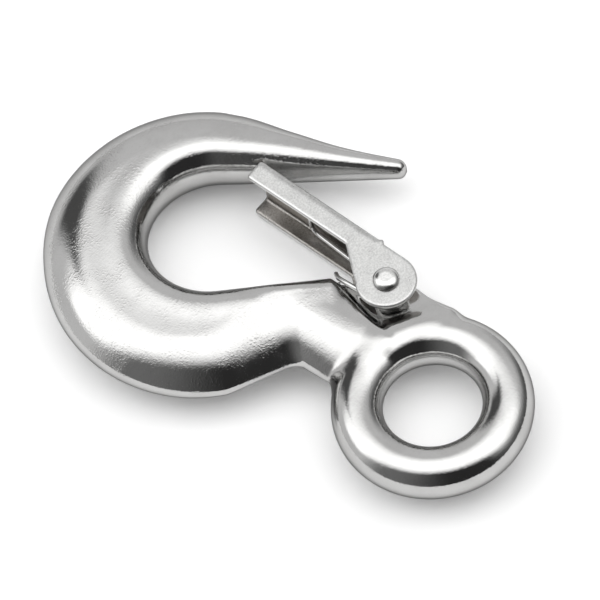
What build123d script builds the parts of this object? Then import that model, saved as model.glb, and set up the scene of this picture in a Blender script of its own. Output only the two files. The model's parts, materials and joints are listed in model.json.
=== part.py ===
from build123d import *
import os
from math import asin, cos, degrees, pi, radians, sin, sqrt

# Eye hook with latch: a polished forging, a pressed latch, its rivet and its spring.
#
# Millimetres. The origin is the centre of the eye. The hook lies in the XY plane, which is its
# mid-plane. +Y runs from the bowl to the eye along the line of pull, the point and the latch are
# on the -X side, and +Z is square to the hook.

os.makedirs("parts", exist_ok=True)

# ---- driving dimensions -------------------------------------------------------------------------

# Eye: a round ring with a narrow cylindrical land at its waist
eye_ring_radius = 14.8
eye_stock_radius = 5.1
eye_land_width = 2.4

# Bowl: its inner edge is a circle on the line of pull
bowl_drop = 59.2
bowl_radius = 13.7
bowl_thickness = 13.6

# Section of the forging at full size: round inner edge, short flat, crowned flank, thin rim
section_inner_radius = 6.8
section_flat = 5.3
section_flank_radius = 12.5
section_rim_radius = 2.5

# Point: its inner edge is straight and leaves the bowl at this angle about the bowl's centre
point_angle = -139.3
point_offset = 14.2

# Lug that carries the latch
lug_thickness = 5.4
lug_edge_x = -16.5

# Hinge
pin_x = -12.2
pin_y = -22.9
pin_radius = 1.9
pin_clearance = 0.05
head_radius = 2.6
head_height = 1.15
tail_height = 0.6
head_gap = 0.1

# Latch: a channel of bent sheet
latch_lean = 3.45
latch_width = 14.4
latch_sheet = 1.2
latch_length = 37.8
latch_web_offset = 6.8
latch_edge_offset = 1.8
web_start = -6.9
web_notch = 0.7
ear_radius = 6.1
bend_radius = 1.7
tip_round = 1.3
edge_round = 0.2

# Spring
wire_radius = 0.5
coil_radius = 3.3
coil_pitch = 1.1
coil_turns = 1.5
spring_bend = 2.0
spring_reach = 24.8

# ---- forging ------------------------------------------------------------------------------------


def flank_span():
    """Distance along the section from the end of the flat to the centre of the rim's round."""
    drop = section_flank_radius - bowl_thickness / 2
    return sqrt((section_flank_radius - section_rim_radius) ** 2 - drop**2)


def section_width():
    """Width of the full-size section."""
    return section_inner_radius + section_flat + flank_span() + section_rim_radius


def section_outline():
    """Points round the full-size section: x from the inner edge outwards, y across the hook."""
    half = bowl_thickness / 2
    flank_x = section_inner_radius + section_flat
    flank_y = half - section_flank_radius
    rim_angle = degrees(asin(-flank_y / (section_flank_radius - section_rim_radius)))
    top = []
    for angle in (150, 120, 95):
        x = section_inner_radius * (1 + cos(radians(angle)))
        top.append((x, half * sin(radians(angle))))
    top.append((section_inner_radius + section_flat / 2, half))
    for angle in (86, 70, 54, rim_angle):
        x = flank_x + section_flank_radius * cos(radians(angle))
        top.append((x, flank_y + section_flank_radius * sin(radians(angle))))
    bottom = [(x, -y) for x, y in reversed(top)]
    return [(0, 0)] + top + [(section_width(), 0)] + bottom


def section_plane(inner, angle):
    """Plane of one cross-section, from a point of the inner edge outwards at an angle."""
    outward = Vector(cos(radians(angle)), sin(radians(angle)), 0)
    return Plane(origin=inner, x_dir=outward, z_dir=outward.cross(Vector(0, 0, 1)))


def section_points(width, thickness):
    """The section's outline brought to a width and a thickness."""
    along = width / section_width()
    across = thickness / bowl_thickness
    return [(x * along, y * across) for x, y in section_outline()]


def bowl_point(angle, radius):
    """A point at an angle and a distance from the bowl's centre."""
    return Vector(radius * cos(radians(angle)), radius * sin(radians(angle)) - bowl_drop, 0)


# Stations of the point: distance along its inner edge, inset, width, thickness
point_stations = [
    (37.6, 1.3, 1.2, 1.6),
    (37.0, 0.6, 2.6, 3.6),
    (35.8, 0.2, 3.6, 5.0),
    (33.0, 0.0, 4.4, 6.2),
    (25.0, 0.0, 6.4, 8.4),
    (15.0, 0.0, 10.3, 10.8),
    (5.0, 0.0, 14.2, 12.4),
]
# Stations of the bowl: angle about its centre, width, thickness
bowl_stations = [
    (-132, 15.8, 13.2),
    (-112, 17.5, 13.6),
    (-90, 18.9, 13.6),
    (-65, 20.7, 13.6),
    (-40, 21.2, 13.6),
    (-15, 22.1, 13.6),
    (10, 23.0, 13.6),
    (30, 22.9, 13.6),
    (47, 22.0, 13.6),
]
# Stations of the shank and neck: inner edge x, y, angle, width, thickness
shank_stations = [
    (5.2, -45.8, 47.7, 20.9, 13.5),
    (1.2, -42.3, 46.7, 19.4, 13.0),
    (-2.9, -38.6, 40.7, 18.4, 12.2),
    (-6.3, -34.0, 26.7, 18.6, 11.4),
    (-6.4, -28.0, 15.7, 17.2, 10.6),
    (-5.7, -22.3, 7.7, 15.6, 9.8),
    (-5.2, -16.7, 0.7, 14.4, 9.0),
]

with BuildPart() as hook_body:
    # point, bowl, shank and neck: one skin through all the sections
    point_start = bowl_point(point_angle, point_offset)
    point_way = Vector(sin(radians(point_angle)), -cos(radians(point_angle)), 0)
    point_out = Vector(cos(radians(point_angle)), sin(radians(point_angle)), 0)
    sections = []
    for distance, inset, width, thickness in point_stations:
        inner = point_start + point_way * distance + point_out * inset
        sections.append((inner, point_angle, width, thickness))
    for angle, width, thickness in bowl_stations:
        sections.append((bowl_point(angle, bowl_radius), angle, width, thickness))
    for x, y, angle, width, thickness in shank_stations:
        sections.append((Vector(x, y, 0), angle, width, thickness))
    for inner, angle, width, thickness in sections:
        with BuildSketch(section_plane(inner, angle)):
            with BuildLine():
                Spline(*section_points(width, thickness), periodic=True)
            make_face()
    loft()

    # eye
    land_x = eye_ring_radius - sqrt(eye_stock_radius**2 - (eye_land_width / 2) ** 2)
    with BuildSketch(Plane.XZ):
        with Locations((eye_ring_radius, 0)):
            Circle(eye_stock_radius)
        with Locations((land_x, 0)):
            Rectangle(2 * eye_stock_radius, 3 * eye_stock_radius, align=(Align.MAX, Align.CENTER),
                      mode=Mode.SUBTRACT)
    revolve(axis=Axis.Z)

    # lug: a plate between neck, eye and hinge
    lug_round = pin_x - lug_edge_x
    with BuildSketch(Plane.XY.offset(-lug_thickness / 2)):
        with BuildLine():
            Polyline((lug_edge_x, pin_y), (lug_edge_x, -9.5), (-3, -15), (0, -24), (-3.5, -31.5),
                     (-6.9, -31.3), (pin_x, pin_y - lug_round))
            RadiusArc((pin_x, pin_y - lug_round), (lug_edge_x, pin_y), lug_round)
        make_face()
    extrude(amount=lug_thickness)
    with Locations((pin_x, pin_y, 0)):
        Cylinder(pin_radius, 3 * lug_thickness, mode=Mode.SUBTRACT)
hook_body.part.label = "hook_body"

# ---- latch --------------------------------------------------------------------------------------

lean = radians(latch_lean)
latch_x_dir = Vector(cos(lean), sin(lean), 0)
latch_plane = Plane(origin=(pin_x, pin_y, 0), x_dir=latch_x_dir, z_dir=(0, 0, 1))
web_x = -latch_web_offset
edge_x = -latch_edge_offset
inside_x = web_x + latch_sheet
inside_width = latch_width - 2 * latch_sheet

with BuildPart() as latch:
    # blank: side outline of the walls, through the whole width
    with BuildSketch(latch_plane.offset(-latch_width / 2)):
        with BuildLine():
            Polyline((-ear_radius, 0), (-ear_radius, web_start + web_notch), (web_x, web_start),
                     (web_x, -latch_length), (edge_x, -latch_length), (edge_x, -12.0),
                     (ear_radius * 0.7, -ear_radius * 0.7), (0, 0), close=True)
        make_face()
        Circle(ear_radius)
    extrude(amount=latch_width)
    # rounded free corners of the tip
    tip_corner = latch_plane.from_local_coords(Vector(edge_x, -latch_length, 0))
    fillet(latch.edges().filter_by(Axis.Z).sort_by_distance(tip_corner)[0], tip_round)
    # outside of the two bends
    web_point = latch_plane.from_local_coords(Vector(web_x, -latch_length / 2, 0))
    web_face = latch.faces().sort_by_distance(web_point)[0]
    web_bends = web_face.edges().filter_by(Axis((0, 0, 0), latch_plane.y_dir))
    fillet(web_bends, bend_radius)
    # inside of the channel, open towards the bowl and between the ears
    with BuildSketch(latch_plane.offset(-inside_width / 2)):
        with BuildLine():
            Polyline((inside_x, -latch_length - 1), (20, -latch_length - 1), (20, 20), (-20, 20),
                     (-20, web_start + web_notch), (inside_x, web_start + web_notch), close=True)
        make_face()
    extrude(amount=inside_width, mode=Mode.SUBTRACT)
    # the stamping's edges are tumbled round
    fillet(latch.edges(), edge_round)
    with Locations((pin_x, pin_y, 0)):
        Cylinder(pin_radius + pin_clearance, 2 * latch_width, mode=Mode.SUBTRACT)
latch.part.label = "latch"

# ---- rivet --------------------------------------------------------------------------------------

head_base = latch_width / 2 + head_gap
head_top = head_base + head_height
dome_start = head_base + 0.35
tail_end = head_base + tail_height

with BuildPart() as rivet:
    # domed head on one side, flatter upset tail on the other
    with BuildSketch(Plane.XZ.offset(-pin_y)):
        with BuildLine():
            Polyline((pin_x, -tail_end), (pin_x, head_top), (pin_x + 1.1, head_top))
            TangentArc((pin_x + 1.1, head_top), (pin_x + head_radius, dome_start), tangent=(1, 0))
            Polyline((pin_x + head_radius, dome_start), (pin_x + head_radius, head_base),
                     (pin_x + pin_radius, head_base), (pin_x + pin_radius, -head_base),
                     (pin_x + head_radius, -head_base))
            TangentArc((pin_x + 1.9, -tail_end), (pin_x + head_radius, -head_base), tangent=(1, 0))
            Line((pin_x + 1.9, -tail_end), (pin_x, -tail_end))
        make_face()
    revolve(axis=Axis((pin_x, pin_y, 0), (0, 0, 1)))
rivet.part.label = "rivet"

# ---- spring -------------------------------------------------------------------------------------

coil_inner = lug_thickness / 2 + wire_radius + 0.15
coil_outer = coil_inner + coil_turns * coil_pitch


def coil_point(turn):
    """A point of the coil: it starts on the mouth side at the outside and winds inwards."""
    angle = pi - 2 * pi * turn
    x = pin_x + coil_radius * cos(angle)
    y = pin_y + coil_radius * sin(angle)
    return (x, y, coil_outer - coil_pitch * turn)


# half of the wire: bridge inside the web, arm up to the coil, coil, leg down to the shank
bridge = latch_plane.from_local_coords(Vector(inside_x + wire_radius + 0.15, -spring_reach, 0))
bend_start = coil_outer - spring_bend
half_path = [(bridge.X, bridge.Y, bend_start * step / 3) for step in range(4)]
for angle in (30, 60, 90):
    rise = spring_bend * (1 - cos(radians(angle)))
    half_path.append((bridge.X, bridge.Y + rise, bend_start + spring_bend * sin(radians(angle))))
arm_top = pin_x - coil_radius
for share in (0.35, 0.7):
    x = bridge.X + (arm_top - bridge.X) * share
    y = bridge.Y + spring_bend + (pin_y - bridge.Y - spring_bend) * share
    half_path.append((x, y, coil_outer))
steps = int(8 * coil_turns)
half_path += [coil_point(coil_turns * step / steps) for step in range(steps + 1)]
leg_x = pin_x + coil_radius
half_path.append((leg_x + 0.3, pin_y - 3.0, coil_inner + 0.05))
half_path.append((leg_x + 0.7, pin_y - 6.0, coil_inner + 0.05))
half_path.append((leg_x + 0.8, pin_y - 9.0, coil_inner - 0.5))
half_path.append((leg_x + 0.5, pin_y - 11.0, coil_inner - 1.4))
half_path.append((leg_x - 0.1, pin_y - 12.4, coil_inner - 1.9))

with BuildPart() as spring:
    with BuildLine() as wire:
        Spline(*half_path, tangents=[(0, 0, 1), (-0.6, -0.8, 0)])
    with BuildSketch(Plane.XY.move(Location(half_path[0]))):
        Circle(wire_radius)
    sweep(path=wire.wires()[0])
    mirror(about=Plane.XY)
spring.part.label = "spring"

for piece in (hook_body, latch, rivet, spring):
    print(piece.part.label, round(piece.part.volume, 1), piece.part.bounding_box())
    export_step(piece.part, f"parts/{piece.part.label}.step")
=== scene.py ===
"""Looks of the eye hook with latch: polished forging, satin latch, rivet, spring, floor and light."""
import json
import math

import bpy
import numpy as np
from mathutils import Matrix, Vector


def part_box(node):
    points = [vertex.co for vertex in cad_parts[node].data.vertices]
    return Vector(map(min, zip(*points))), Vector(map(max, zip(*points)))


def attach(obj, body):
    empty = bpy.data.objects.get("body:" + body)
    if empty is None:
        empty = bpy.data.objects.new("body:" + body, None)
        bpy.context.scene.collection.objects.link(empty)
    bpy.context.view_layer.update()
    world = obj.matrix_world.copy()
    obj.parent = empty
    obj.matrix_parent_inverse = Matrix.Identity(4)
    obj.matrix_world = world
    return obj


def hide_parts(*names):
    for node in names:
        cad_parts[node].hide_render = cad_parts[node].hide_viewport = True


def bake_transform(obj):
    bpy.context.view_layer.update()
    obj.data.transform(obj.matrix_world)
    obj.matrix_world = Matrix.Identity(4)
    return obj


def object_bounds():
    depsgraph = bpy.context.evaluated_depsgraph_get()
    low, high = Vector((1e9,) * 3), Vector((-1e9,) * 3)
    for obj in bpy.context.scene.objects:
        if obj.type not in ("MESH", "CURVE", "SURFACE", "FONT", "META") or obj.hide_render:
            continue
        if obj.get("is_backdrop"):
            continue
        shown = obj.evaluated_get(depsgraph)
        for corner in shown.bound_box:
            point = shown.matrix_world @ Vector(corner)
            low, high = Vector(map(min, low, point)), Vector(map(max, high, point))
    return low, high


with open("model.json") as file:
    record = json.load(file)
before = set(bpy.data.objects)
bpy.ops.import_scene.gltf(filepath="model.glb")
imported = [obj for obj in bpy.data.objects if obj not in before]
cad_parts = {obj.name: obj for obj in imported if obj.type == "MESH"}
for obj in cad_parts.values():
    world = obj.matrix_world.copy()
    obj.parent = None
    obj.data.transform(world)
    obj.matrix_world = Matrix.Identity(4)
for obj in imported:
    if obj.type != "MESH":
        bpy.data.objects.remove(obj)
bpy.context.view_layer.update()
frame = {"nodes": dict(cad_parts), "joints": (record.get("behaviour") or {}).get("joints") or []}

MM = 0.001

# ---- sizes of the forging, in millimetres, in the CAD frame --------------------------------------

pin = np.array(frame["joints"][0]["pos_m"]) / MM
body_low, body_high = (np.array(corner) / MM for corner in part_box("hook_body"))
latch_low, latch_high = (np.array(corner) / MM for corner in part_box("latch"))

EYE_STOCK = 5.1
EYE_RING = body_high[1] - EYE_STOCK

BOWL_CENTRE = np.array([0.0, -59.2])
BOWL_RADIUS = 13.7
POINT_ANGLE = math.radians(-139.3)
SHANK_ANGLE = math.radians(47.9)
POINT_LENGTH = 37.9
SHANK_LENGTH = 23.6
BOWL_LENGTH = (SHANK_ANGLE - POINT_ANGLE) * BOWL_RADIUS

STEP_ROUND = 0.8
LUG_HALF = 2.7
LUG_END = 4.3
LUG_EDGE = 0.55
RIVET_HOLE = 1.9
NECK_FILLET = 1.5
EYE_FILLET = 4.2
LUG_FILLET = 1.6
RIPPLE_HEIGHT = 0.035
POLISHED_OFF = 0.012
BODY_CELL = 0.42

# Stations of the section: distance from where the point's inner edge starts (negative towards the
# tip), width, half thickness, length of the round inner edge, height of the ridge along it, and
# how far out the bevel towards the rim starts
STATIONS = [
    (-38.0, 3.4, 2.1, 1.5, 0.0, 30.0),
    (-35.0, 3.9, 2.5, 1.8, 0.0, 30.0),
    (-25.0, 6.4, 3.8, 2.8, 0.0, 30.0),
    (-15.0, 10.3, 5.1, 4.1, 0.0, 30.0),
    (-5.0, 14.2, 6.1, 4.9, 0.05, 30.0),
    (0.0, 15.4, 6.4, 5.1, 0.1, 30.0),
    (6.0, 17.1, 6.55, 5.2, 0.15, 30.0),
    (12.0, 18.9, 6.6, 5.3, 0.2, 30.0),
    (18.2, 20.6, 6.6, 5.3, 0.25, 30.0),
    (24.9, 21.4, 6.6, 5.3, 0.25, 30.0),
    (31.3, 22.4, 6.6, 5.3, 0.25, 26.0),
    (37.8, 22.9, 6.6, 5.3, 0.25, 22.0),
    (44.7, 22.4, 6.6, 5.3, 0.25, 18.0),
    (50.0, 20.9, 6.5, 5.2, 0.25, 14.6),
    (55.0, 19.3, 6.4, 5.1, 0.2, 12.4),
    (60.0, 17.6, 5.9, 4.7, 0.1, 11.4),
    (66.0, 16.0, 5.4, 4.3, 0.0, 10.4),
]
TALLEST_HALF = 6.6
FLANK_RADIUS = 12.0
RIM_RADIUS = 3.3
RIDGE_WIDTH = 2.4
RIDGE_PLACE = 0.6
BEVEL = math.radians(32)
BEVEL_ROUND = 4.0

# The neck runs from the bowl's shoulder, at its low end, up to the ring
NECK_LOW = -32.2
NECK_RISE = 17.0


# ---- implicit shapes: negative inside, about millimetres outside ---------------------------------


def through(stations, column, x):
    """A smooth curve through one column of the stations, read at x."""
    table = np.array(stations)
    xs, ys = table[:, 0], table[:, column]
    slopes = np.gradient(ys, xs)
    x = np.clip(x, xs[0], xs[-1])
    i = np.clip(np.searchsorted(xs, x) - 1, 0, len(xs) - 2)
    step = xs[i + 1] - xs[i]
    t = (x - xs[i]) / step
    start = (1 + 2 * t) * (1 - t) ** 2 * ys[i] + t * (1 - t) ** 2 * step * slopes[i]
    end = t * t * (3 - 2 * t) * ys[i + 1] + t * t * (t - 1) * step * slopes[i + 1]
    return start + end


def join(a, b, radius):
    """Union of two shapes with a fillet."""
    fillet = np.hypot(np.maximum(radius - a, 0), np.maximum(radius - b, 0))
    return np.maximum(radius, np.minimum(a, b)) - fillet


def cut(a, b, radius):
    """What two shapes share, with a rounded edge."""
    edge = np.hypot(np.maximum(radius + a, 0), np.maximum(radius + b, 0))
    return np.minimum(-radius, np.maximum(a, b)) + edge


def section(along, out, z):
    """The forging's section: round inside, a low ridge, a flat, a crowned flank and a thin rim."""
    width = through(STATIONS, 1, along)
    half = through(STATIONS, 2, along)
    nose = through(STATIONS, 3, along)
    ridge = through(STATIONS, 4, along)
    size = half / TALLEST_HALF
    rim = RIM_RADIUS * size
    crown = FLANK_RADIUS * size
    fall = np.minimum(np.sqrt((crown - rim) ** 2 - (crown - half) ** 2), width - nose - rim)
    crown = (fall**2 + half**2 - rim**2) / (2 * (half - rim))
    start = width - rim - fall
    z = np.abs(z)
    lift = ridge * np.exp(-(((out - nose - RIDGE_PLACE) / RIDGE_WIDTH) ** 2))
    inner = (np.hypot((out - nose) / nose, z / (half + lift)) - 1) * np.minimum(nose, half)
    top = z - half - lift
    flank = np.hypot(out - start, z + crown - half) - crown - lift
    tip = np.hypot(out - start - fall, z) - rim
    beyond = (out - start) * (crown - half) > fall * (z + crown - half)
    outer = np.where(out < start, top, np.where(beyond, tip, flank))
    bevel = (out - through(STATIONS, 5, along)) * math.sin(BEVEL) + (z - half) * math.cos(BEVEL)
    return cut(np.where(out < nose, inner, outer), bevel, BEVEL_ROUND)


def step_line(y):
    """Where the shank and the neck step down to the lug."""
    return -7.15 + 3.2 * (y - NECK_LOW) / NECK_RISE


def sweep(x, y, z):
    """Point, bowl and shank: the section carried along line, arc and line."""
    dx, dy = x - BOWL_CENTRE[0], y - BOWL_CENTRE[1]
    angle = np.arctan2(dy, dx)
    bowl = section((angle - POINT_ANGLE) * BOWL_RADIUS, np.hypot(dx, dy) - BOWL_RADIUS, z)
    in_bowl = (angle >= POINT_ANGLE) & (angle <= SHANK_ANGLE)
    bowl = np.where(in_bowl, bowl, 50.0)

    along = dx * math.sin(POINT_ANGLE) - dy * math.cos(POINT_ANGLE)
    out = dx * math.cos(POINT_ANGLE) + dy * math.sin(POINT_ANGLE) - BOWL_RADIUS
    point = cut(section(-along, out, z), along - POINT_LENGTH, 1.7)
    point = np.where(along >= 0, point, 50.0)

    along = dy * math.cos(SHANK_ANGLE) - dx * math.sin(SHANK_ANGLE)
    out = dx * math.cos(SHANK_ANGLE) + dy * math.sin(SHANK_ANGLE) - BOWL_RADIUS
    shank = cut(section(along + BOWL_LENGTH, out, z), along - SHANK_LENGTH, 1.5)
    shank = cut(shank, step_line(y) - x, STEP_ROUND)
    shank = np.where(along >= 0, shank, 50.0)
    return np.minimum(np.minimum(bowl, point), shank)


def neck(x, y, z):
    """The neck between bowl and eye: its crest falls gently to a crisp step, steeply outside."""
    up = (y - NECK_LOW) / NECK_RISE
    rise = np.clip(up, -0.3, 1.2)
    crest = 2.2 - 1.2 * rise - 3.8 * rise**3
    half = 6.3 - 1.1 * np.clip(up, 0, 1)
    reach = np.where(x > crest, 11.2 - 2.3 * up - crest, 10.6)
    power = np.where(x > crest, 1.6, 2.0)
    across = np.abs(x - crest) / reach
    outside = ((across**power + np.abs(z / half) ** power) ** (1 / power) - 1) * half
    block = cut(outside, step_line(y) - x, STEP_ROUND)
    dx, dy = x - BOWL_CENTRE[0], y - BOWL_CENTRE[1]
    deep = dx * math.cos(SHANK_ANGLE) + dy * math.sin(SHANK_ANGLE) - BOWL_RADIUS
    return cut(cut(block, y + EYE_RING - 1, 1.0), 2.6 - deep, 1.6)


def eye(x, y, z):
    """The round ring."""
    return np.hypot(np.hypot(x, y) - EYE_RING, z) - EYE_STOCK


def polygon(x, y, corners):
    """Distance to a closed outline in the hook's plane."""
    distance = np.full(x.shape, 1e9)
    inside = np.zeros(x.shape, bool)
    for (ax, ay), (bx, by) in zip(corners, corners[1:] + corners[:1]):
        ex, ey = bx - ax, by - ay
        t = np.clip(((x - ax) * ex + (y - ay) * ey) / (ex * ex + ey * ey), 0, 1)
        distance = np.minimum(distance, np.hypot(x - ax - t * ex, y - ay - t * ey))
        crosses = (ay > y) != (by > y)
        inside ^= crosses & (x < ax + (y - ay) * ex / (ey if ey else 1e-9))
    return np.where(inside, -distance, distance)


def lug(x, y, z):
    """The thin plate that carries the latch, round about the rivet."""
    edge = pin[0] - LUG_END
    corners = [(edge, pin[1]), (edge, -10.5), (-3.0, -14.0), (0.0, -24.0), (-3.5, -32.0),
               (-6.9, -31.8), (pin[0] + 1.5, pin[1] - LUG_END + 0.2), (pin[0], pin[1])]
    outline = np.minimum(polygon(x, y, corners), np.hypot(x - pin[0], y - pin[1]) - LUG_END)
    return cut(outline, np.abs(z) - LUG_HALF, LUG_EDGE)


def ripple(x, y, z):
    """Slow waves that hand polishing leaves in the surface."""
    total = 0.0
    for i in range(9):
        turn, rise, phase = 2.4 * i, math.sin(1.7 * i + 0.4), 3.1 * i * i
        length = 6.0 + 1.7 * i
        pace = 2 * math.pi / length
        flat = math.sqrt(1 - rise * rise)
        way = (pace * flat * math.cos(turn), pace * flat * math.sin(turn), pace * rise)
        total = total + length * np.sin(way[0] * x + way[1] * y + way[2] * z + phase)
    return total / 100


def forging(points):
    """The whole forging."""
    x, y, z = points.T
    shape = join(sweep(x, y, z), neck(x, y, z), NECK_FILLET)
    plate = join(lug(x, y, z), eye(x, y, z), EYE_FILLET)
    shape = join(shape, plate, LUG_FILLET)
    hole = np.hypot(x - pin[0], y - pin[1]) - RIVET_HOLE
    return np.maximum(shape + RIPPLE_HEIGHT * ripple(x, y, z) + POLISHED_OFF, -hole)


# ---- surface of an implicit shape ----------------------------------------------------------------


def gradient(shape, points, step=0.02):
    """Slope of the shape at each point."""
    slopes = []
    for axis in range(3):
        shift = np.zeros(3)
        shift[axis] = step
        slopes.append((shape(points + shift) - shape(points - shift)) / (2 * step))
    return np.stack(slopes, 1)


def settle(shape, points, rounds):
    """Moves points onto the shape's surface."""
    for _ in range(rounds):
        slope = gradient(shape, points)
        size = np.maximum((slope**2).sum(1), 0.2)
        points = points - np.clip(shape(points) / size, -0.3, 0.3)[:, None] * slope
    return points


def corner_of(values, corner):
    """The values at one corner of every cell."""
    a, b, c = (slice(k, n - 1 + k) for k, n in zip(corner, values.shape))
    return values[a, b, c]


def cell_points(values):
    """One point for each cell that the surface crosses, in cells, and the point's number by cell."""
    counts = np.array(values.shape) - 1
    total = np.zeros((*counts, 3))
    hits = np.zeros(counts)
    for corner in np.ndindex(2, 2, 2):
        start = np.array(corner)
        for axis in range(3):
            if start[axis]:
                continue
            step = np.eye(3, dtype=int)[axis]
            here, there = corner_of(values, start), corner_of(values, start + step)
            crossed = (here < 0) != (there < 0)
            t = np.where(crossed, here / np.where(crossed, here - there, 1), 0)
            total += crossed[..., None] * (start + t[..., None] * step)
            hits += crossed
    active = hits > 0
    number = np.full(counts, -1)
    number[active] = np.arange(active.sum())
    return np.argwhere(active) + total[active] / hits[active][:, None], number


def cell_faces(inside, number):
    """A quad across every lattice edge that the surface crosses, facing out."""
    faces = []
    for axis in range(3):
        one, two = (axis + 1) % 3, (axis + 2) % 3
        first = np.moveaxis(inside, axis, 0)[:-1]
        second = np.moveaxis(inside, axis, 0)[1:]
        crossed = np.moveaxis(first != second, 0, axis)
        edges = np.argwhere(crossed)
        edges = edges[(edges[:, one] > 0) & (edges[:, two] > 0)]
        back_one, back_two = np.eye(3, dtype=int)[one], np.eye(3, dtype=int)[two]
        ring = [edges - back_one - back_two, edges - back_two, edges, edges - back_one]
        quads = np.stack([number[tuple(r.T)] for r in ring], 1)
        flip = ~inside[tuple(edges.T)]
        quads[flip] = quads[flip][:, ::-1]
        faces.append(quads)
    return np.concatenate(faces)


def skin(shape, low, high, cell):
    """Even quads over the surface of an implicit shape: one point per cell that it crosses."""
    counts = np.ceil((high - low) / cell).astype(int) + 1
    grids = np.meshgrid(*[low[i] + cell * np.arange(counts[i]) for i in range(3)], indexing="ij")
    lattice = np.stack([g.ravel() for g in grids], 1)
    values = np.concatenate([shape(part) for part in np.array_split(lattice, 20)])
    values = values.reshape(counts)
    points, number = cell_points(values)
    return low + cell * points, cell_faces(values < 0, number)


def relax(shape, points, faces, rounds):
    """Evens out the quads while the points stay on the surface."""
    pairs = np.concatenate([faces[:, [i, (i + 1) % 4]] for i in range(4)])
    degree = np.bincount(pairs[:, 0], minlength=len(points))
    for _ in range(rounds):
        mean = np.stack([np.bincount(pairs[:, 0], points[pairs[:, 1], i], len(points))
                         for i in range(3)], 1) / degree[:, None]
        points = settle(shape, points + 0.6 * (mean - points), 1)
    return settle(shape, points, 2)


def mesh_object(name, points, faces):
    """A smooth-shaded mesh object from points in millimetres."""
    mesh = bpy.data.meshes.new(name)
    mesh.from_pydata((np.asarray(points) * MM).tolist(), [], [[int(i) for i in f] for f in faces])
    mesh.update()
    mesh.shade_smooth()
    made = bpy.data.objects.new(name, mesh)
    bpy.context.scene.collection.objects.link(made)
    return made


def make_solid(name, shape, box, cell, node, body):
    """A mesh of an implicit shape, which stands for a CAD node."""
    margin = 1.0
    points, faces = skin(shape, box[0] - margin, box[1] + margin, cell)
    points = settle(shape, points, 3)
    points = relax(shape, points, faces, 4)
    piece = mesh_object(name, points, faces)
    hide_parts(node)
    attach(piece, body)
    return piece


# ---- latch ---------------------------------------------------------------------------------------

LEAN = math.radians(3.45)
EAR = 6.1
SHEET = 1.2
LATCH_HALF = latch_high[2]
WEB = -6.8
WEB_START = -6.6
LATCH_END = -37.8
LATCH_HOLE = 1.95
EDGE_SOFT = 0.42
BEND = 1.7
BEND_START = -6.4
INSIDE_BEND = 0.5
CORNER = 0.8
LATCH_CELL = 0.3


def latch_sides(x, y):
    """Distances from the pin across and along the closed latch."""
    across = (x - pin[0]) * math.cos(LEAN) + (y - pin[1]) * math.sin(LEAN)
    along = (y - pin[1]) * math.cos(LEAN) - (x - pin[0]) * math.sin(LEAN)
    return across, along


def channel(points):
    """The latch: a bent sheet channel whose two walls end in round ears."""
    x, y, z = points.T
    u, v = latch_sides(x, y)
    z = np.abs(z)
    middle = LATCH_HALF - SHEET / 2
    corners = [(0.0, 0.0), (-5.3, 0.0), (-5.3, -5.9), (-6.0, -6.6), (-6.0, -37.0), (-2.6, -37.0),
               (-2.6, -11.7), (3.64, -3.78)]
    outline = np.minimum(polygon(u, v, corners) - CORNER, np.hypot(u, v) - EAR)
    wall = cut(outline, np.abs(z - middle) - SHEET / 2, EDGE_SOFT)
    web = cut(np.abs(u - WEB - SHEET / 2) - SHEET / 2, z - LATCH_HALF, EDGE_SOFT)
    web = cut(cut(web, v - WEB_START, EDGE_SOFT), LATCH_END - v, EDGE_SOFT)
    bend = np.clip(EDGE_SOFT + (BEND - EDGE_SOFT) * (BEND_START - v), EDGE_SOFT, BEND)
    shell = np.maximum(join(wall, web, INSIDE_BEND), cut(WEB - u, z - LATCH_HALF, bend))
    return np.maximum(shell, LATCH_HOLE - np.hypot(u, v))


# ---- spring --------------------------------------------------------------------------------------

WIRE = 0.5
COIL = 3.3
TURNS = 1.5
COIL_INNER = 3.35
COIL_OUTER = 5.0
ARM_REACH = 24.8
ARM_BEND = 2.0
WEB_INSIDE = -5.6
WEB_GAP = 0.15
COIL_STEPS = 60

# The leg beside the neck: points from where the coil ends, sideways, along the neck and down
LEG = [
    (0.3, -3.0, 0.05),
    (0.7, -6.0, 0.05),
    (0.85, -8.6, -0.4),
    (0.6, -10.2, -1.1),
    (0.1, -11.1, -1.6),
]


def latch_point(x, y, z):
    """A point given in the closed latch's own directions, about its pin."""
    turned = (x * math.cos(LEAN) - y * math.sin(LEAN), x * math.sin(LEAN) + y * math.cos(LEAN))
    return (pin[0] + turned[0], pin[1] + turned[1], z)


def smooth_line(knots, spacing):
    """A smooth line through points, at even steps."""
    knots = np.array(knots, float)
    far = np.concatenate([[0], np.cumsum(np.linalg.norm(np.diff(knots, axis=0), axis=1))])
    table = np.column_stack([far, knots])
    steps = np.linspace(0, far[-1], int(far[-1] / spacing) + 2)
    return np.column_stack([through(table, i, steps) for i in (1, 2, 3)])


def arm_line():
    """From the bridge inside the web round a bend and up to the coil."""
    bridge = latch_point(WEB_INSIDE + WIRE + WEB_GAP, -ARM_REACH, 0)
    knots = [(bridge[0], bridge[1], (COIL_OUTER - ARM_BEND) * i / 4) for i in range(5)]
    for i in range(1, 7):
        turn = math.pi / 2 * i / 6
        knots.append((bridge[0], bridge[1] + ARM_BEND * (1 - math.cos(turn)),
                      COIL_OUTER - ARM_BEND + ARM_BEND * math.sin(turn)))
    start, end = np.array(knots[-1]), np.array([pin[0] - COIL, pin[1], COIL_OUTER])
    knots += [tuple(start + (end - start) * i / 8) for i in range(1, 9)]
    return knots


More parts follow.
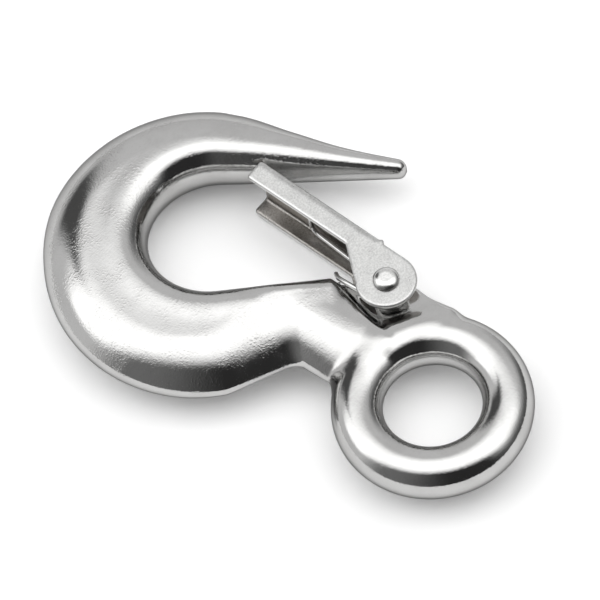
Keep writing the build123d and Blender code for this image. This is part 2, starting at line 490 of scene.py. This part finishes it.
def coil_line():
    """The coil round the rivet and the leg that lies in the gap beside the neck."""
    knots = []
    for i in range(COIL_STEPS + 1):
        done = i / COIL_STEPS
        turn = math.pi - 2 * math.pi * TURNS * done
        knots.append((pin[0] + COIL * math.cos(turn), pin[1] + COIL * math.sin(turn),
                      COIL_OUTER - (COIL_OUTER - COIL_INNER) * done))
    side = pin[0] + COIL
    for x, y, z in LEG:
        knots.append((side + x, pin[1] + y, COIL_INNER + z))
    return knots


def tube(name, path, radius, sides=16):
    """A round wire along a smooth path, with closed ends."""
    ways = np.gradient(path, axis=0)
    ways /= np.linalg.norm(ways, axis=1)[:, None]
    side = np.cross(ways[0], (0.3, 0.9, 0.1))
    side /= np.linalg.norm(side)
    rings = []
    for centre, way in zip(path, ways):
        side = side - way * side.dot(way)
        side /= np.linalg.norm(side)
        other = np.cross(way, side)
        for i in range(sides):
            turn = 2 * math.pi * i / sides
            rings.append(centre + radius * (math.cos(turn) * side + math.sin(turn) * other))
    last = (len(path) - 1) * sides
    faces = []
    for near in range(0, last, sides):
        far = near + sides
        for i in range(sides):
            j = (i + 1) % sides
            faces.append((near + i, near + j, far + j, far + i))
    faces.append(tuple(reversed(range(sides))))
    faces.append(tuple(range(last, last + sides)))
    return mesh_object(name, rings, faces)


def make_spring():
    """Bridge and arms, which follow the latch, and a fixed coil each side, wound round the rivet."""
    arm = arm_line()
    other = [(x, y, -z) for x, y, z in arm[1:]]
    bridge = tube("spring_bridge", smooth_line(other[::-1] + arm, 0.25), WIRE)
    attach(bridge, "latch")
    made = [bridge]
    for name, side in (("upper", 1), ("lower", -1)):
        line = smooth_line(coil_line(), 0.22) * (1, 1, side)
        coil = tube("spring_coil_" + name, line, WIRE)
        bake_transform(coil)
        made.append(coil)
    for piece in made:
        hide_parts("spring")
    return made


# ---- materials -----------------------------------------------------------------------------------


class Nodes:
    """Short ways to build a node tree."""

    def __init__(self, name):
        self.material = bpy.data.materials.new(name)
        self.material.use_nodes = True
        self.tree = self.material.node_tree
        self.shader = self.tree.nodes["Principled BSDF"]
        self.place = self.add("ShaderNodeTexCoord").outputs["Object"]

    def add(self, kind, **settings):
        """A new node with these settings."""
        node = self.tree.nodes.new(kind)
        for key, value in settings.items():
            setattr(node, key, value)
        return node

    def feed(self, socket, value):
        """Links a socket to the socket, or sets it to the colour or number."""
        if isinstance(value, bpy.types.NodeSocket):
            self.tree.links.new(value, socket)
        elif isinstance(value, tuple):
            socket.default_value = (*value[:3], 1)
        else:
            socket.default_value = value

    def stretched(self, scale, turn=(0, 0, 0)):
        """The place on the object, turned and scaled by axis."""
        node = self.add("ShaderNodeMapping")
        self.feed(node.inputs["Vector"], self.place)
        node.inputs["Rotation"].default_value = turn
        node.inputs["Scale"].default_value = scale
        return node.outputs["Vector"]

    def noise(self, vector, scale, detail=2.0, roughness=0.5, distortion=0.0):
        """Smooth noise about 0.5."""
        node = self.add("ShaderNodeTexNoise")
        self.feed(node.inputs["Vector"], vector)
        node.inputs["Scale"].default_value = scale
        node.inputs["Detail"].default_value = detail
        node.inputs["Roughness"].default_value = roughness
        node.inputs["Distortion"].default_value = distortion
        return node.outputs["Fac"]

    def band(self, value, low, high, out_low, out_high):
        """Straight line from out_low at low to out_high at high, level outside."""
        node = self.add("ShaderNodeMapRange")
        self.feed(node.inputs["Value"], value)
        node.inputs["From Min"].default_value = low
        node.inputs["From Max"].default_value = high
        node.inputs["To Min"].default_value = out_low
        node.inputs["To Max"].default_value = out_high
        return node.outputs["Result"]

    def math(self, operation, a, b=0.0):
        """Arithmetic on one or two values."""
        node = self.add("ShaderNodeMath", operation=operation)
        self.feed(node.inputs[0], a)
        self.feed(node.inputs[1], b)
        return node.outputs[0]

    def colour(self, value, low, high):
        """Mixes two colours, from low at 0 to high at 1."""
        node = self.add("ShaderNodeMix", data_type="RGBA")
        factor, first, second, mixed = 0, 6, 7, 2
        self.feed(node.inputs[factor], value)
        self.feed(node.inputs[first], low)
        self.feed(node.inputs[second], high)
        return node.outputs[mixed]

    def along(self, vector, axis):
        """How far a vector reaches along an axis."""
        node = self.add("ShaderNodeVectorMath", operation="DOT_PRODUCT")
        self.feed(node.inputs[0], vector)
        node.inputs[1].default_value = axis
        return node.outputs["Value"]

    def ramp(self, value, low, high, out_low=0.0, out_high=1.0):
        """The same as band, eased in and out."""
        result = self.band(value, low, high, out_low, out_high)
        result.node.interpolation_type = "SMOOTHSTEP"
        return result

    def bump(self, height, distance, strength, under=None):
        """A surface normal bent by a height, over another normal."""
        node = self.add("ShaderNodeBump")
        self.feed(node.inputs["Height"], height)
        node.inputs["Distance"].default_value = distance
        node.inputs["Strength"].default_value = strength
        if under is not None:
            self.feed(node.inputs["Normal"], under)
        return node.outputs["Normal"]


def polished_steel():
    """Mirror-polished forging: nearly clear reflections, fine lines, and worn specks on the bowl."""
    n = Nodes("polished_steel")
    cloud = n.noise(n.place, 150, 4, 0.55)
    haze = n.noise(n.place, 420, 3, 0.6, 0.4)
    pits = n.noise(n.place, 2900, 2, 0.6)
    lines = n.noise(n.stretched((160, 3600, 3600), (0.2, 0.4, 0.9)), 1, 2, 0.5)
    cross = n.noise(n.stretched((3400, 200, 3400), (0.5, 0.1, -0.5)), 1, 2, 0.5)
    wear = n.math("ADD", n.band(cloud, 0.4, 0.7, 0, 0.6), n.band(pits, 0.55, 0.75, 0, 0.4))
    n.feed(n.shader.inputs["Base Color"], n.colour(wear, (0.53, 0.528, 0.522), (0.45, 0.446, 0.44)))
    n.shader.inputs["Metallic"].default_value = 1.0
    specks = n.noise(n.place, 2300, 1, 0.5)
    below_eye = n.ramp(n.along(n.place, (0, 1, 0)), -0.020, -0.032, 0.25, 1.0)
    worn = n.math("MULTIPLY", n.band(specks, 0.48, 0.74, 0, 1), n.band(cloud, 0.44, 0.60, 0.10, 1))
    worn = n.math("MULTIPLY", worn, below_eye)
    smear = n.noise(n.stretched((260, 260, 90), (0.3, 0.2, 0.5)), 0.5, 4, 0.6, 0.6)
    rough = n.math("ADD", n.band(cloud, 0.35, 0.65, 0.05, 0.08), n.band(smear, 0.52, 0.7, 0, 0.14))
    rough = n.math("ADD", rough, n.math("MULTIPLY", worn, 0.10))
    n.feed(n.shader.inputs["Roughness"], rough)
    # Grey specular tint: painted shade that darkens reflections at grazing angles into dark outlines
    # along the edges
    n.shader.inputs["Specular Tint"].default_value = (0.30, 0.30, 0.30, 1)
    normal = n.bump(pits, 0.00002, 0.50)
    normal = n.bump(worn, 0.00005, 0.36, normal)
    normal = n.bump(lines, 0.00002, 0.26, normal)
    normal = n.bump(cross, 0.00002, 0.20, normal)
    normal = n.bump(haze, 0.00005, 0.30, normal)
    n.feed(n.shader.inputs["Normal"], normal)
    return n.material


def satin_sheet():
    """Pressed stainless sheet: speckled satin faces, a painted highlight on the free edges, and
    painted shade that makes the inside of the channel a darker grey.
    """
    n = Nodes("satin_sheet")
    grain = n.noise(n.stretched((3200, 420, 3200), (0, 0, LEAN)), 1, 3, 0.65)
    speckle = n.noise(n.place, 2500, 3, 0.7)
    cloud = n.noise(n.place, 300, 4, 0.65)
    toward = (math.cos(LEAN), math.sin(LEAN), 0)
    beside = (-math.sin(LEAN), math.cos(LEAN), 0)
    pin_toward = (pin[0] * toward[0] + pin[1] * toward[1]) * MM
    out = n.math("SUBTRACT", n.along(n.place, toward), pin_toward)
    height = n.math("ABSOLUTE", n.along(n.place, (0, 0, 1)))
    # Painted shade: the inside of the channel is painted darker, for the shade that falls there
    inner = n.math("MULTIPLY", n.ramp(height, 0.0066, 0.0060), n.ramp(out, -0.0064, -0.0060))
    pin_beside = (pin[0] * beside[0] + pin[1] * beside[1]) * MM
    far = n.math("SUBTRACT", n.along(n.place, beside), pin_beside)
    # Painted highlight: the free edge along the tip is painted brighter, for the light its rounded
    # edge catches
    edge = n.math("MULTIPLY", n.ramp(out, -0.0023, -0.0019), n.ramp(far, -0.0112, -0.0122))
    mottle = n.math("ADD", n.band(speckle, 0.38, 0.62, 0, 0.65), n.band(cloud, 0.35, 0.65, 0, 0.35))
    face = n.colour(mottle, (0.40, 0.40, 0.395), (0.62, 0.62, 0.61))
    inside_shade = n.colour(mottle, (0.19, 0.182, 0.17), (0.42, 0.40, 0.38))
    edge_highlighted = n.colour(edge, face, (0.74, 0.74, 0.73))
    n.feed(n.shader.inputs["Base Color"], n.colour(inner, edge_highlighted, inside_shade))
    n.shader.inputs["Metallic"].default_value = 1.0
    n.feed(n.shader.inputs["Roughness"], n.band(cloud, 0.3, 0.7, 0.26, 0.40))
    normal = n.bump(grain, 0.00004, 0.35)
    normal = n.bump(speckle, 0.00004, 0.25, normal)
    normal = n.bump(cloud, 0.00012, 0.20, normal)
    n.feed(n.shader.inputs["Normal"], normal)
    return n.material


def rivet_steel():
    """Rivet: tumbled heads with small dents, with painted shade darkening their foot where they meet
    the latch.
    """
    n = Nodes("rivet_steel")
    dents = n.noise(n.place, 700, 2, 0.5)
    specks = n.noise(n.place, 2400, 3, 0.6)
    height = n.math("ABSOLUTE", n.along(n.place, (0, 0, 1)))
    # Painted shade: near-black base colour at the head's foot, for the contact shadow against the
    # latch
    rivet_foot_shade = n.ramp(height, 0.0080, 0.0074)
    bare = n.colour(specks, (0.50, 0.50, 0.49), (0.76, 0.76, 0.75))
    n.feed(n.shader.inputs["Base Color"], n.colour(rivet_foot_shade, bare, (0.12, 0.115, 0.11)))
    n.shader.inputs["Metallic"].default_value = 1.0
    n.feed(n.shader.inputs["Roughness"], n.band(dents, 0.3, 0.7, 0.13, 0.26))
    normal = n.bump(dents, 0.00008, 0.35)
    n.feed(n.shader.inputs["Normal"], n.bump(specks, 0.00003, 0.3, normal))
    return n.material


def spring_wire():
    """Drawn wire: satin, with a fine mottle."""
    n = Nodes("spring_wire")
    draw = n.noise(n.place, 1600, 3, 0.6)
    n.feed(n.shader.inputs["Base Color"], n.colour(draw, (0.46, 0.46, 0.455), (0.70, 0.70, 0.69)))
    n.shader.inputs["Metallic"].default_value = 1.0
    n.feed(n.shader.inputs["Roughness"], n.band(draw, 0.3, 0.7, 0.16, 0.26))
    n.feed(n.shader.inputs["Normal"], n.bump(draw, 0.00003, 0.2))
    return n.material


def paint(piece, material):
    """Gives a piece one material."""
    piece.data.materials.clear()
    piece.data.materials.append(material)


# ---- floor and camera ----------------------------------------------------------------------------

FLOOR_GAP = 0.00005
FLOOR_HALF = 1.5

# Level directions as the camera sees them
AWAY = Vector((-0.7241, -0.6896, 0.0))
RIGHT = Vector((-0.6896, 0.7241, 0.0))
UP = (0, 0, 1)

# A lens that takes in a wide piece of table, made longer to frame this one hook
CAMERA_PLACE = Vector((0.23835, 0.29076, 0.6788))
SENSOR = 36.0
TABLE_LENS = 102.0
CLOSER = 2.35


def make_floor():
    """A wide white table just under the lowest rivet head."""
    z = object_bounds()[0][2] - FLOOR_GAP
    corners = [(-1, -1), (1, -1), (1, 1), (-1, 1)]
    mesh = bpy.data.meshes.new("floor")
    mesh.from_pydata([(FLOOR_HALF * x, FLOOR_HALF * y, z) for x, y in corners], [], [(0, 1, 2, 3)])
    floor = bpy.data.objects.new("floor", mesh)
    bpy.context.scene.collection.objects.link(floor)
    n = Nodes("floor_white")
    n.shader.inputs["Base Color"].default_value = (0.95, 0.95, 0.95, 1)
    n.shader.inputs["Roughness"].default_value = 0.7
    n.shader.inputs["Specular IOR Level"].default_value = 0.2
    n.shader.inputs["Emission Color"].default_value = (1, 1, 1, 1)
    n.shader.inputs["Emission Strength"].default_value = 0.10
    mesh.materials.append(n.material)
    floor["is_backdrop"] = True


def make_camera():
    """Looks down at the middle of the hook, with the floor's far side at the top of the frame."""
    low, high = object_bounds()
    target = (Vector(low) + Vector(high)) / 2
    camera = bpy.data.objects.new("camera", bpy.data.cameras.new("camera"))
    bpy.context.scene.collection.objects.link(camera)
    camera.data.sensor_width = SENSOR
    camera.data.lens = TABLE_LENS * CLOSER
    camera.data.clip_start = 0.05
    camera.data.clip_end = 10.0
    back = (CAMERA_PLACE - target).normalized()
    right = AWAY.cross(back).normalized()
    turn = Matrix((right, back.cross(right), back)).transposed()
    camera.matrix_world = Matrix.Translation(CAMERA_PLACE) @ turn.to_4x4()
    bpy.context.scene.camera = camera
    bpy.context.scene.view_settings.view_transform = "Standard"


# ---- studio light --------------------------------------------------------------------------------

SOFT_BOX = 1.38
FAR_WALL = 0.54
RIGHT_WALL = 0.10
ROOM_LEFT = 0.15
ROOM_RIGHT = 0.025
SEAM = 0.07
SEAM_TURN = math.radians(43)
SEAM_WAY = tuple(math.cos(SEAM_TURN) * AWAY - math.sin(SEAM_TURN) * RIGHT)
SEAM_SIDE = tuple(math.sin(SEAM_TURN) * AWAY + math.cos(SEAM_TURN) * RIGHT)
STUDIO_STRENGTH = 1.55


class Sky(Nodes):
    """Brightness of the studio by direction."""

    def __init__(self, world):
        self.tree = world.node_tree
        self.way = self.add("ShaderNodeTexCoord").outputs["Generated"]

    def mix(self, amount, a, b):
        """Mixes two brightnesses, from a at 0 to b at 1."""
        node = self.add("ShaderNodeMix", data_type="FLOAT")
        self.feed(node.inputs["Factor"], amount)
        self.feed(node.inputs["A"], a)
        self.feed(node.inputs["B"], b)
        return node.outputs["Result"]

    def times(self, *values):
        """Product of the values."""
        result = values[0]
        for value in values[1:]:
            result = self.math("MULTIPLY", result, value)
        return result


def soft_box(n, height, away, right):
    """Share of the overhead soft box: a soft-edged rectangle on a level ceiling."""
    above = n.math("MAXIMUM", height, 0.02)
    across = n.math("DIVIDE", right, above)
    deep = n.math("DIVIDE", away, above)
    return n.times(n.ramp(across, -2.6, -1.6), n.ramp(across, 2.0, 0.6), n.ramp(deep, 0.9, 0.2),
                   n.ramp(deep, -0.75, -0.15))


def studio():
    """A tent of white cloth: a wide soft box overhead, a grey far wall, a right wall that darkens
    towards the table, the dark room behind the camera, and a dark seam in the far wall's left."""
    world = bpy.data.worlds.new("studio")
    bpy.context.scene.world = world
    world.use_nodes = True
    n = Sky(world)
    height = n.along(n.way, UP)
    away = n.along(n.way, AWAY)
    right = n.along(n.way, RIGHT)
    level_squared = n.math("SUBTRACT", 1.0, n.times(height, height))
    level = n.math("MAXIMUM", n.math("SQRT", level_squared), 0.02)
    away_share = n.math("DIVIDE", away, level)
    right_share = n.math("DIVIDE", right, level)
    low_right = n.times(n.ramp(right_share, 0.2, 0.8), n.ramp(height, 0.65, 0.15))
    walls = n.mix(low_right, FAR_WALL, RIGHT_WALL)
    dark = n.mix(n.ramp(right_share, -0.75, 0.25), ROOM_LEFT, ROOM_RIGHT)
    room = n.times(n.ramp(away_share, -0.25, -0.65), n.ramp(height, 0.98, 0.82))
    light = n.mix(soft_box(n, height, away, right), n.mix(room, walls, dark), SOFT_BOX)
    beside = n.math("ABSOLUTE", n.math("DIVIDE", n.along(n.way, SEAM_SIDE), level))
    seam = n.times(n.ramp(beside, 0.32, 0.12), n.ramp(n.along(n.way, SEAM_WAY), 0.0, 0.2),
                   n.ramp(height, 0.84, 0.68), n.ramp(height, 0.05, 0.30))
    background = world.node_tree.nodes["Background"]
    n.feed(background.inputs["Color"], n.mix(seam, light, SEAM))
    background.inputs["Strength"].default_value = STUDIO_STRENGTH


# ---- the whole scene -----------------------------------------------------------------------------

body = make_solid("forging", forging, (body_low, body_high), BODY_CELL,
                  "hook_body", "root")
paint(body, polished_steel())
latch = make_solid("latch_sheet", channel, (latch_low, latch_high), LATCH_CELL,
                   "latch", "latch")
paint(latch, satin_sheet())
paint(frame["nodes"]["rivet"], rivet_steel())
wire = spring_wire()
for piece in make_spring():
    paint(piece, wire)

make_floor()
make_camera()
studio()
